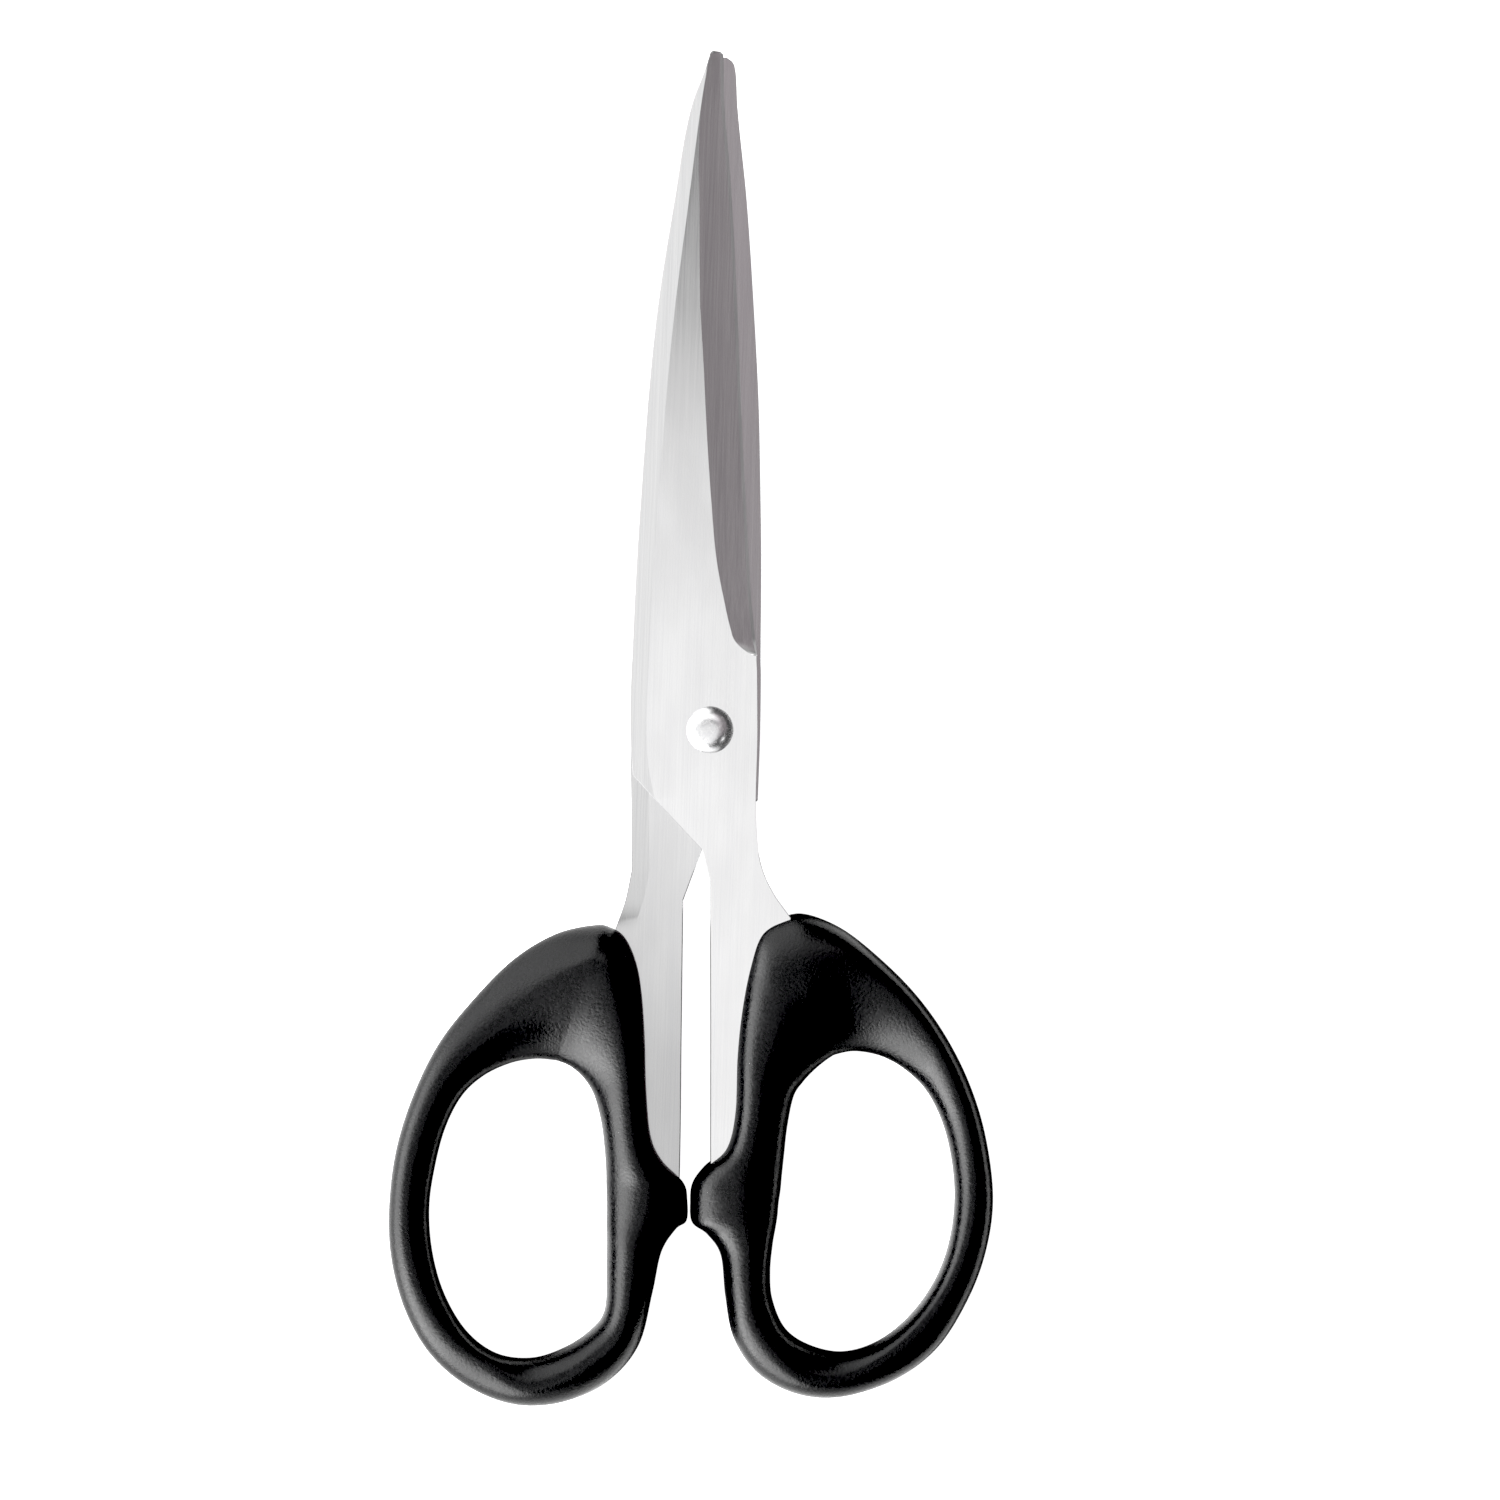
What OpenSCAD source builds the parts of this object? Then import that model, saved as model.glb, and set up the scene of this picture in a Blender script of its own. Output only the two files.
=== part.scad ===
// Office scissors, closed, lying flat.
// +Y points to the blade tips, +Z is up, and the origin is under the middle of the whole pair.
// The front half (front_blade, right_handle) turns about the pivot over the back half.

/* [Blades] */
// Thickness of each blade blank
blade_t = 1.8; // [1.4:0.1:2.2]
// Gap between the two blades' inner faces
blade_gap = 0.05; // [0.03:0.01:0.1]
// Steepness of the cutting grind, as depth over width
grind_slope = 0.3; // [0.2:0.02:0.4]
// Thickness left at the cutting edge
edge_t = 0.25; // [0.15:0.05:0.5]
// Depth of the shallow bevel along the spine
spine_drop = 0.45; // [0.2:0.05:0.7]

/* [Pivot] */
// Diameter of the rivet's domed head
head_d = 6.2; // [5.6:0.1:7]
// Height of the rivet's domed head
head_h = 0.9; // [0.7:0.1:1.6]
// Diameter of the shoulder that the front blade turns on
shoulder_d = 4; // [3.6:0.1:4.4]
// Diameter of the spigot pressed through the back blade
spigot_d = 3; // [2.6:0.1:3.2]
// Radial running clearance of the front blade on the shoulder
running_gap = 0.04; // [0.02:0.01:0.08]
// Diameter of the washer under the peened tail
washer_d = 7; // [6.4:0.1:8]
// Thickness of that washer
washer_t = 0.5; // [0.4:0.1:0.8]
// Diameter of the peened tail
tail_d = 5.2; // [4.6:0.1:5.6]
// Height of the peened tail
tail_h = 0.9; // [0.6:0.1:1.1]

/* [Handles] */
// Half of the handles' thickness
handle_h = 4.5; // [4.3:0.1:5]
// Rounding under the outer edge of the grip
outer_round = 2.3; // [1.5:0.1:3]
// Widest rounding under the finger-hole side of the grip
hole_round = 5; // [3:0.5:6]
// Diameter of the holes in the tangs that the plastic fills
key_d = 2.5; // [2:0.1:2.6]

/* [Hidden] */
$fn = 48;

steel = "#d9dbde";
plastic = "#1b1b1d";

pivot = [0.4, 0.4];
front_z = blade_gap / 2;
back_z = -blade_gap / 2 - blade_t;
top_z = front_z + blade_t;
// Axial play under the rivet's head.
end_gap = 0.04;
// Depth of the bevel on the rim of the back tang.
rim_drop = 0.3;
// Stations lofted for each rib.
rib_steps = 3;
// Superellipse powers of the widest sides of a grip's section: all of them, and those over the front tang.
least_power = 1.7;
blunt_power = 2.2;
// How far a cutter runs past the surface, and how far it starts ahead of its line.
cut_over = 1;
cut_lead = 0.3;
// How far a key reaches into the grip on each side, and its radial shrinkage.
key_root = 0.6;
key_shrink = 0.02;

// Front blade, from the ricasso's lower left corner up the spine to the tip.
front_spine = [
    [-9.6, -6], [-10.2, 0.3], [-10.3, 11.9], [-10, 28], [-8.7, 54.6], [-6.9, 69.9],
    [-4.9, 83.4], [-3.45, 87.6], [-2.8, 89.9], [-2.5, 90.4]];
// Front blade, from the tip down the cutting edge and the ricasso to the handle.
front_edge = [
    [-1.3, 90.4], [-0.9, 89.9], [-0.6, 83.6], [0.3, 76], [1, 69.3], [2, 57.4], [2.6, 49.5], [3.4, 38.8],
    [4.1, 30.9], [4.8, 22.9], [5.4, 17.2], [5.8, 14.2], [6.1, 12.4], [6.2, 11.3], [6.3, 10.4]];
front_tang = [
    [6.7, 0.7], [7.2, -14.1], [8.1, -18], [9.8, -21.3], [12, -24.2], [12.4, -30], [11.6, -37],
    [10.4, -45], [9.6, -53], [9.3, -61], [2.6, -61], [2.4, -55.5], [1.1, -19.6], [-0.1, -15.5]];
// Inner boundary of the cutting grind, one point for each point of front_edge.
front_grind = [
    [-2.4, 90.5], [-2.7, 89.4], [-3.6, 83.4], [-3.7, 76], [-3.4, 69.3], [-2.9, 57.4], [-2.2, 49.5],
    [-1.3, 38.8], [-0.5, 30.9], [0.5, 22.9], [1.8, 17.1], [2.6, 14.1], [3.3, 12.3], [4.6, 11.1], [6.1, 10.3]];
// Inner boundary of the spine bevel, and the spine beside each of its points.
front_strip = [
    [-6.4, -11], [-7.7, -4], [-8, 11.9], [-7.6, 28], [-6.3, 54.6], [-4.9, 69.9], [-3.6, 83.4], [-2.2, 90.2]];
front_strip_foot = [
    [-9.3, -11], [-9.8, -4], [-10.3, 11.9], [-10, 28], [-8.7, 54.6], [-6.9, 69.9], [-4.9, 83.4], [-2.5, 90.3]];

// Back blade, from the ricasso's lower right corner up the spine to the tip.
back_spine = [
    [7.1, -8.7], [7.1, 0.3], [6.8, 12.5], [6.5, 23.2], [6, 33.8], [5.4, 44.4], [4.5, 55],
    [2.9, 70.9], [1.2, 83.6], [0.8, 88.1], [0.6, 88.9], [-0.4, 89.8]];
// Back blade, from the tip down the cutting edge.
back_edge = [
    [-1.4, 89.8], [-1.9, 88.8], [-3.2, 83.4], [-5, 69.9], [-6.6, 54.6], [-7.8, 38.8], [-8.2, 28],
    [-8.9, 18], [-9.7, 11.9]];
back_tang = [
    [-10.2, 0.3], [-9.4, -18.6], [-10.1, -22.7], [-11.2, -26.4], [-12, -31], [-11.5, -38],
    [-10.4, -45], [-9.6, -53], [-9.3, -61], [-1.6, -61], [-1.6, -57.6], [-2.4, -22.4], [-0.1, -15.5]];
// Inner boundary of the back blade's grind, one point for each point of back_edge.
back_grind = [
    [-0.5, 89.9], [-0.4, 88.6], [0, 83.4], [-0.4, 69.9], [-1.8, 54.6], [-3, 38.8], [-3.7, 28], [-5, 18],
    [-9.4, 11.7]];
// Left edge of the back tang's shallow bevel, and its inner boundary.
back_rim = [[-10.2, 0.3], [-9.8, -9.2], [-9.4, -18.6], [-10.1, -22.7], [-11.2, -26.4]];
back_rim_in = [[-7.9, 0.3], [-7.6, -9.2], [-7, -18.6], [-7.7, -22.7], [-8.8, -26.4]];

// Centres of the plastic-filled holes in the tangs.
left_keys = [[-9.6, -35], [-7.7, -53]];
right_keys = [[9.4, -33], [7.3, -51]];

// Each grip is lofted through ribs: outer edge x, y, then finger-hole edge x, y, then where the crest
// on top stands as a share of the way from the one to the other, and how high it is.
left_ribs = [
    [-14, -26, -18.8, -44.2, 0.32, 4], [-19.2, -27.4, -21.3, -44.1, 0.43, 3.5],
    [-24.7, -31, -24.6, -44.8, 0.53, 3.1], [-30, -36.7, -28.1, -46.6, 0.54, 2.9],
    [-34.3, -42.6, -30.9, -49.4, 0.5, 2.9], [-37.4, -49.5, -32.9, -53.6, 0.46, 2.9],
    [-39.4, -56.7, -34.1, -58.7, 0.45, 2.9], [-40.1, -64.2, -34.7, -64.3, 0.46, 2.9],
    [-39.6, -71.2, -34.1, -70.2, 0.5, 2.9], [-37.5, -78.1, -32.3, -75.8, 0.58, 2.9],
    [-33.9, -83.9, -29.2, -80.6, 0.7, 3], [-28.6, -88.1, -25.2, -83.4, 0.76, 3.1],
    [-22.3, -90.2, -20.7, -83.9, 0.46, 3.4], [-15.9, -89.6, -16.6, -82.6, 0.5, 3.7],
    [-10.1, -86.6, -13, -80.1, 0.57, 4], [-6.2, -81.7, -10.95, -77.1, 0.5, 4.3],
    [-4.6, -74.7, -10.9, -71.2, 0.46, 4.5], [-3.6, -69.2, -11, -67.5, 0.5, 4.5],
    [-1.8, -66.1, -11.1, -65.6, 0.52, 4.5], [-0.4, -64.9, -11.1, -64, 0.54, 4.5],
    [-0.4, -62.2, -11.2, -62.2, 0.5, 4.5], [-1, -59.9, -11.3, -60.4, 0.46, 4.5],
    [-4, -57, -11.4, -58.5, 0.38, 4.5], [-5.6, -53.7, -11.7, -55.7, 0.34, 4.5],
    [-6.4, -47.5, -12.3, -52, 0.36, 4.5], [-6.8, -41.2, -13.4, -48.5, 0.36, 4.5],
    [-7.4, -35.2, -14.8, -46.4, 0.36, 4.5], [-8.3, -30.9, -16.2, -45.2, 0.33, 4.5],
    [-9.9, -27.6, -17.1, -44.7, 0.28, 4.5], [-11.8, -26.3, -17.9, -44.4, 0.26, 4.4]];
right_ribs = [
    [14, -23.6, 18.7, -42.1, 0.4, 4.4], [18.9, -25.4, 21.2, -41.6, 0.25, 4.1],
    [24.1, -29.2, 24.5, -42.1, 0.2, 3.8], [29, -33.8, 27.7, -43.7, 0.22, 3.6],
    [33.1, -39.1, 30.6, -46.3, 0.28, 3.5], [36.5, -45.3, 32.8, -50.1, 0.36, 3.4],
    [38.9, -52.2, 34.3, -54.9, 0.42, 3.4], [40.2, -60.2, 35, -60.7, 0.5, 3.4],
    [39.6, -67.1, 34.4, -66.9, 0.58, 3.4], [37.5, -73.7, 32.5, -72.2, 0.64, 3.4],
    [33.6, -80.5, 29.3, -76.8, 0.7, 3.5], [28.1, -85, 25.2, -80.2, 0.64, 3.6],
    [21.2, -87.6, 20.7, -81.6, 0.46, 3.7], [15.2, -87.5, 16.3, -80.8, 0.42, 3.9],
    [9.7, -84.9, 13.1, -78.7, 0.6, 4.1], [6.3, -80.3, 11.3, -74.9, 0.56, 4.3],
    [5, -74.7, 10.9, -71.2, 0.55, 4.5], [4.2, -69.3, 11.1, -67.7, 0.55, 4.5],
    [2.3, -66.6, 11.4, -65.5, 0.6, 4.5], [0.25, -65.1, 11.6, -63.9, 0.62, 4.5],
    [-0.1, -62.4, 11.7, -62.1, 0.6, 4.5], [0.1, -59.9, 11.9, -60.3, 0.58, 4.5],
    [1.6, -57.6, 12, -58.5, 0.52, 4.5], [4.3, -55, 12.2, -55.7, 0.42, 4.5],
    [5.3, -50.2, 12.5, -51.9, 0.42, 4.5], [5.3, -42.6, 13.2, -47.9, 0.45, 4.5],
    [5.7, -36.2, 14.4, -45.9, 0.5, 4.5], [6.6, -30.4, 15.7, -44.4, 0.5, 4.5],
    [8, -26, 16.9, -43.3, 0.48, 4.5], [10.9, -24.1, 17.8, -42.6, 0.46, 4.5]];

// A closed Catmull-Rom curve through rows of numbers, with a number of steps from each row to the next.
function between(a, b, c, d, s) =
    (2 * b + (c - a) * s + (2 * a - 5 * b + 4 * c - d) * s * s + (3 * b - a - 3 * c + d) * s * s * s) / 2;
function closed_curve(rows, steps) = let (n = len(rows)) [
    for (i = [0 : n - 1], j = [0 : steps - 1])
        between(rows[(i + n - 1) % n], rows[i], rows[(i + 1) % n], rows[(i + 2) % n], j / steps)];
function reversed(rows) = [for (i = [len(rows) - 1 : -1 : 0]) rows[i]];

// One side of a rib's cross section, from its edge up to the crest. Wide sides are less bellied, down to
// the power "least".
function bulge(reach, height, least) = let (power = max(min(2.3 - 0.1 * reach, 2), least))
    [for (a = [0 : 30 : 90]) [reach * (1 - pow(cos(a), 2 / power)), height * pow(sin(a), 2 / power)]];
function rounding(reach) = [for (a = [30 : 30 : 90]) [reach * (1 - cos(a)), -handle_h * sin(a)]];

// One rib's cross section: crested on top, and flat below between an outer and a finger-hole rounding.
function profile(width, crest, height, outer_least) = let (
    hole_side = bulge((1 - crest) * width, height, least_power),
    under_hole = rounding(min(hole_round, 0.5 * width)),
    under_outer = rounding(min(outer_round, 0.4 * width)))
    concat(
        bulge(crest * width, height, outer_least),
        [for (i = [2 : -1 : 0]) [width - hole_side[i].x, hole_side[i].y]],
        [for (p = under_hole) [width - p.x, p.y]],
        reversed(under_outer));
function section(rib, outer_least) = let (
    outer = [rib[0], rib[1]],
    way = [rib[2], rib[3]] - outer,
    width = norm(way))
    [for (p = profile(width, rib[4], min(rib[5], handle_h), outer_least))
        let (at = outer + way * p.x / width) [at.x, at.y, p.y]];

// The two triangles between sides j and m of rings i and k.
function patch(i, k, j, m, sides) = [
    [i * sides + j, k * sides + j, k * sides + m],
    [i * sides + j, k * sides + m, i * sides + m]];

// A closed loop of rings.
module ring_loft(rings) {
    count = len(rings);
    sides = len(rings[0]);
    polyhedron(
        [for (ring = rings) each ring],
        [for (i = [0 : count - 1], j = [0 : sides - 1])
            each patch(i, (i + 1) % count, j, (j + 1) % sides, sides)]);
}

// What a grinding wheel takes off: a plane from the line "high" on one face down to the line "low".
// side is 1 for the upper face and -1 for the lower one.
module grind(high, low, face_z, slope, deepest, side) {
    facing = side * cross(high[1] - high[0], low[0] - high[0]);
    rings = [for (i = [0 : len(high) - 1]) let (
        way = low[i] - high[i],
        width = norm(way),
        unit = way / width,
        fall = min(slope, deepest / width),
        start = high[i] - unit * cut_lead,
        stop = low[i] + unit * cut_over,
        ring = [
            [start.x, start.y, face_z + side * fall * cut_lead],
            [stop.x, stop.y, face_z - side * fall * (width + cut_over)],
            [stop.x, stop.y, face_z + side * cut_over],
            [start.x, start.y, face_z + side * cut_over]])
        facing > 0 ? ring : reversed(ring)];
    last = len(rings) - 1;
    polyhedron(
        [for (ring = rings) each ring],
        concat(
            [[0, 1, 2, 3], [last * 4 + 3, last * 4 + 2, last * 4 + 1, last * 4]],
            [for (i = [0 : last - 1], j = [0 : 3]) each patch(i, i + 1, j, (j + 1) % 4, 4)]));
}

module slab(outline, low_z) {
    translate([0, 0, low_z]) linear_extrude(blade_t) polygon(outline);
}

module bore(at, low_z, d) {
    translate([at.x, at.y, low_z - cut_over]) cylinder(d = d, h = blade_t + 2 * cut_over);
}

module front_blank() {
    slab(concat(front_spine, front_edge, front_tang), front_z);
}

module back_blank() {
    slab(concat(back_spine, back_edge, back_tang), back_z);
}

// The plastic that fills the holes in a tang, a hair slimmer than the holes.
module keys(places, low_z) {
    for (at = places) translate([at.x, at.y, low_z - key_root])
        cylinder(d = key_d - 2 * key_shrink, h = blade_t + 2 * key_root);
}

module in_place() {
    translate([0, 0, handle_h]) children();
}

module front_blade() color(steel) in_place() difference() {
    front_blank();
    grind(front_grind, front_edge, top_z, grind_slope, blade_t - edge_t, 1);
    grind(front_strip, front_strip_foot, top_z, 1, spine_drop, 1);
    bore(pivot, front_z, shoulder_d + 2 * running_gap);
    for (at = right_keys) bore(at, front_z, key_d);
}

module back_blade() color(steel) in_place() difference() {
    back_blank();
    grind(back_grind, back_edge, back_z, grind_slope, blade_t - edge_t, -1);
    grind(back_rim_in, back_rim, -blade_gap / 2, 1, rim_drop, 1);
    bore(pivot, back_z, spigot_d);
    for (at = left_keys) bore(at, back_z, key_d);
}

module left_handle() color(plastic) in_place() {
    difference() {
        ring_loft([for (s = closed_curve(reversed(left_ribs), rib_steps)) section(s, least_power)]);
        back_blank();
    }
    keys(left_keys, back_z);
}

module right_handle() color(plastic) in_place() {
    difference() {
        ring_loft([for (s = closed_curve(right_ribs, rib_steps)) section(s, blunt_power)]);
        front_blank();
    }
    keys(right_keys, front_z);
}

// A domed rivet end of diameter d and height h, standing on z = 0.
module dome(d, h) {
    ball_r = (d * d / 4 + h * h) / (2 * h);
    intersection() {
        translate([0, 0, h - ball_r]) sphere(r = ball_r);
        cylinder(d = d, h = h);
    }
}

module pivot_rivet() color(steel) in_place() translate([pivot.x, pivot.y, 0]) {
    translate([0, 0, top_z + end_gap]) dome(head_d, head_h);
    translate([0, 0, -blade_gap / 2]) cylinder(d = shoulder_d, h = top_z + end_gap + blade_gap / 2);
    translate([0, 0, back_z - washer_t]) cylinder(d = spigot_d, h = blade_t + washer_t);
    translate([0, 0, back_z - washer_t]) mirror([0, 0, 1]) dome(tail_d, tail_h);
}

module pivot_washer() color(steel) in_place() translate([pivot.x, pivot.y, back_z - washer_t]) difference() {
    cylinder(d = washer_d, h = washer_t);
    translate([0, 0, -cut_over]) cylinder(d = spigot_d, h = washer_t + 2 * cut_over);
}

back_blade();
front_blade();
left_handle();
right_handle();
pivot_rivet();
pivot_washer();
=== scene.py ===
import bisect
import math

import bmesh
import bpy
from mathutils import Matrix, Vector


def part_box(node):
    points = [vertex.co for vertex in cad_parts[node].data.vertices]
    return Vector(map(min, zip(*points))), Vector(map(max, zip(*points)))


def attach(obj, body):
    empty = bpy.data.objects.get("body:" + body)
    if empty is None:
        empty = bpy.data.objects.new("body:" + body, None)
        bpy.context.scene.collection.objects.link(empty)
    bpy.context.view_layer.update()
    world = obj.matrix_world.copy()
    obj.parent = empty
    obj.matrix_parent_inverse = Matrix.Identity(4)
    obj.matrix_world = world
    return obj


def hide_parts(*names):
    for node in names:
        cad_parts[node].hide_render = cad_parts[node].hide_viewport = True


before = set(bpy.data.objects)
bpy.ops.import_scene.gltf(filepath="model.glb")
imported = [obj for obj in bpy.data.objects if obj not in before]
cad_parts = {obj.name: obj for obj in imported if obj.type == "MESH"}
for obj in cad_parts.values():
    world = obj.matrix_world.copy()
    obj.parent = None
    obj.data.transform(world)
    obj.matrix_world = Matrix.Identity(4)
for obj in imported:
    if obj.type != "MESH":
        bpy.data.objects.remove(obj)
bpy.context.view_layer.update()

MM = 0.001

# ---------------------------------------------------------------- driving sizes, in millimetres
# In the names, T is a thickness, W a width, D a diameter and H a height. A pair of values such as
# RICASSO_FOOT is where along y something fades in or out.
# The two blanks, and the middle of the pivot.
BLADE_T = 1.8
BLADE_GAP = 0.05
PIVOT = (0.4, 0.4)

# Chamfers round a blank: no more than a share of its width, and smaller over the ricasso,
# the part round the pivot that has no grind.
EDGE_CHAMFER = 0.09
EDGE_SHARE = 0.12
RICASSO_EASE = 0.7
RICASSO_FOOT = (-16, -15.4)
RICASSO_TOP = (8, 10)

# The bevel along the spine, which is full where it is wide enough.
SPINE_DROP = 0.45
SPINE_FULL_W = 2
SPINE_FOOT = (-10, -8.2)
SPINE_TIP = (86, 89.5)

# The hollow cutting grind, whose depth is held over GRIND_TOP, and the narrow hone along its edge,
# which widens over the heel. KEEN_T is the least thickness left at the keen edge.
GRIND_SLOPE = 0.29
GRIND_HOLLOW = 0.03
GRIND_FOOT = 10.4
GRIND_TOP = 89.6
HONE_W = 0.42
HONE_SHARE = 0.3
HONE_DROP = 0.2
HEEL = (10, 13)
KEEN_T = 0.1
KEEN_CHAMFER = 0.05

# The inner face of the back blade: a bevel on the rim of its tang, and a relief towards its spine,
# whose foot is held over RELIEF_TOP.
RIM_W = 2.4
RIM_DROP = 0.3
RIM_FOOT = (-27, -23)
RIM_TOP = (0, 6)
RELIEF_W = 2.4
RELIEF_DROP = 0.35
RELIEF_FOOT = (-12, -8.7)
RELIEF_TOP = 88.5

# How finely a blade is drawn: between cross sections, and across the flat and the grind.
STATION = 0.7
HEEL_STATION = 0.12
MID_COLUMNS = 4
GRIND_COLUMNS = 5

# The rivet and its washer.
HEAD_D = 6.2
HEAD_H = 0.9
SHOULDER_D = 4
SPIGOT_D = 3
WASHER_D = 7
WASHER_T = 0.5
WASHER_EASE = 0.08
TAIL_D = 5.2
TAIL_H = 0.9
DOME_POWER = 3.7
RIVET_PLAY = 0.04
RUNNING_GAP = 0.04

# The section of a grip. The powers are of superellipses, and they fall as the rounding gets wider.
RIB_STEPS = 10
ROUND_STEPS = 12
ELLIPSE_POWER = 2
ROUND_POWER = 2.3
POWER_FALL = 0.1
LEAST_POWER = 1.7
BLUNT_POWER = 2.2
UNDER_OUTER = 2.3
UNDER_OUTER_SHARE = 0.4
UNDER_HOLE = 5
UNDER_HOLE_SHARE = 0.5
SEAM_HALF = 0.14
SEAM_DEPTH = 0.05
GRIP_INSET = 0.05

# The plane between the blades, half way up the grips.
grip_low, grip_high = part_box("left_handle")
GRIP_H = (grip_high.z - grip_low.z) / 2 / MM
PLANE_Z = (grip_high.z + grip_low.z) / 2 / MM
TOP_Z = BLADE_GAP / 2 + BLADE_T

# ---------------------------------------------------------------- outlines, in millimetres
# Each blade edge is a chain of smooth runs of (x, y) going up from the tang; runs meet at corners.
FRONT_LEFT = [
    [(2.6, -61), (2.4, -55.5), (1.8, -38), (1.1, -19.6)],
    [(1.1, -19.6), (-0.1, -15.5)],
    [(-0.1, -15.5), (-9.6, -6)],
    [(-9.6, -6), (-10.2, 0.3), (-10.3, 11.9), (-10, 28), (-8.7, 54.6), (-6.9, 69.9), (-4.9, 83.4),
     (-3.45, 87.6), (-2.85, 89.7)],
    [(-2.85, 89.7), (-2.75, 90.15), (-2.5, 90.4)]]
FRONT_RIGHT = [
    [(9.3, -61), (9.6, -53), (10.4, -45), (11.6, -37), (12.4, -30), (12, -24.2)],
    [(12, -24.2), (9.8, -21.3), (8.1, -18), (7.2, -14.1), (6.7, 0.7), (6.3, 10.4)],
    [(6.3, 10.4), (5.8, 14), (5.3, 17.7), (4.8, 22.9), (4.1, 30.9), (3.4, 38.8), (2.6, 49.5),
     (2, 57.4), (1, 69.3), (0.3, 76), (-0.6, 83.6), (-0.9, 89.6)],
    [(-0.9, 89.6), (-1, 90.1), (-1.35, 90.4)]]
# The inner boundary of the cutting grind, up from its run-out in the ricasso to the spine at the tip.
FRONT_GRIND = [
    [(6.25, 10.35), (5.5, 10.6), (4.6, 11.1), (3.3, 12.3), (2.6, 14.1), (1.8, 17.1), (0.5, 22.9),
     (-0.5, 30.9), (-1.3, 38.8), (-2.2, 49.5), (-2.9, 57.4), (-3.4, 69.3), (-3.7, 76), (-3.75, 80),
     (-3.6, 83.4), (-3.1, 87.9), (-2.75, 89.7)]]
# The inner boundary of the bevel along the spine.
FRONT_STRIP = [
    [(-6.6, -9), (-7.7, -4), (-8, 11.9), (-7.6, 28), (-6.3, 54.6), (-4.9, 69.9), (-3.65, 83.2),
     (-3.1, 87.6), (-2.8, 89.7)]]

# The back blade is drawn as seen from its own outer side, so x runs the other way.
BACK_LEFT = [
    [(1.6, -61), (1.6, -57.6), (2, -40), (2.4, -22.4)],
    [(2.4, -22.4), (0.1, -15.5)],
    [(0.1, -15.5), (-7.1, -8.7)],
    [(-7.1, -8.7), (-7.1, 0.3), (-6.8, 12.5), (-6.5, 23.2), (-6, 33.8), (-5.4, 44.4), (-4.5, 55),
     (-2.9, 70.9), (-1.2, 83.6), (-0.8, 88.1), (-0.6, 88.9)],
    [(-0.6, 88.9), (-0.3, 89.35), (0.4, 89.8)]]
BACK_RIGHT = [
    [(9.3, -61), (9.6, -53), (10.4, -45), (11.5, -38), (12, -31), (11.2, -26.4), (10.1, -22.7),
     (9.4, -18.6)],
    [(9.4, -18.6), (9.8, -9.2), (10.2, 0.3), (9.7, 11.9), (8.9, 18), (8.2, 28), (7.8, 38.8), (6.6, 54.6),
     (5, 69.9), (3.2, 83.4), (1.9, 88.7)],
    [(1.9, 88.7), (1.7, 89.5), (1.3, 89.8)]]
BACK_GRIND = [
    [(9.6, 11.9), (7.6, 13), (6, 15.4), (5, 19.5), (3.7, 28), (3, 38.8), (1.8, 54.6), (0.4, 69.9),
     (0.1, 83.4), (-0.2, 88.4)]]
BACK_STRIP = [
    [(-5.3, -10.3), (-5.1, 0.3), (-4.6, 12.5), (-4.3, 23.2), (-3.8, 33.8), (-3.2, 44.4), (-2.4, 55),
     (-1.1, 70.9), (0, 83.6), (0.05, 88.4)]]

# Ribs of the grips: outer edge x, y, finger-hole edge x, y, the crest's place as a share of the way
# from the one to the other, and the crest's height.
LEFT_RIBS = [
    (-14, -26, -18.8, -44.2, 0.3, 4.15), (-19.2, -27.4, -21.3, -44.1, 0.42, 3.6),
    (-24.7, -31, -24.6, -44.8, 0.53, 3.1), (-30, -36.7, -28.1, -46.6, 0.54, 2.9),
    (-34.3, -42.6, -30.9, -49.4, 0.5, 2.9), (-37.4, -49.5, -32.9, -53.6, 0.46, 2.9),
    (-39.4, -56.7, -34.1, -58.7, 0.45, 2.9), (-40.1, -64.2, -34.7, -64.3, 0.46, 2.9),
    (-39.6, -71.2, -34.1, -70.2, 0.5, 2.9), (-37.5, -78.1, -32.3, -75.8, 0.58, 2.9),
    (-33.9, -83.9, -29.2, -80.6, 0.7, 3), (-28.6, -88.1, -25.2, -83.4, 0.76, 3.1),
    (-22.3, -90.2, -20.7, -83.9, 0.46, 3.4), (-15.9, -89.6, -16.6, -82.6, 0.5, 3.7),
    (-10.1, -86.6, -13, -80.1, 0.57, 4), (-6.2, -81.7, -10.95, -77.1, 0.5, 4.3),
    (-4.6, -74.7, -10.9, -71.2, 0.46, 4.5), (-3.6, -69.2, -11, -67.5, 0.5, 4.5),
    (-1.8, -66.1, -11.1, -65.6, 0.52, 4.5), (-0.4, -64.9, -11.1, -64, 0.54, 4.5),
    (-0.4, -62.2, -11.2, -62.2, 0.5, 4.5), (-1, -59.9, -11.3, -60.4, 0.46, 4.5),
    (-4, -57, -11.4, -58.5, 0.38, 4.5), (-5.6, -53.7, -11.7, -55.7, 0.34, 4.5),
    (-6.4, -47.5, -12.3, -52, 0.36, 4.5), (-6.8, -41.2, -13.4, -48.5, 0.36, 4.5),
    (-7.4, -35.2, -14.8, -46.4, 0.36, 4.5), (-8.3, -30.9, -16.2, -45.2, 0.33, 4.5),
    (-9.9, -27.6, -17.1, -44.7, 0.28, 4.5), (-11.8, -26.3, -17.9, -44.4, 0.27, 4.36)]
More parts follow.
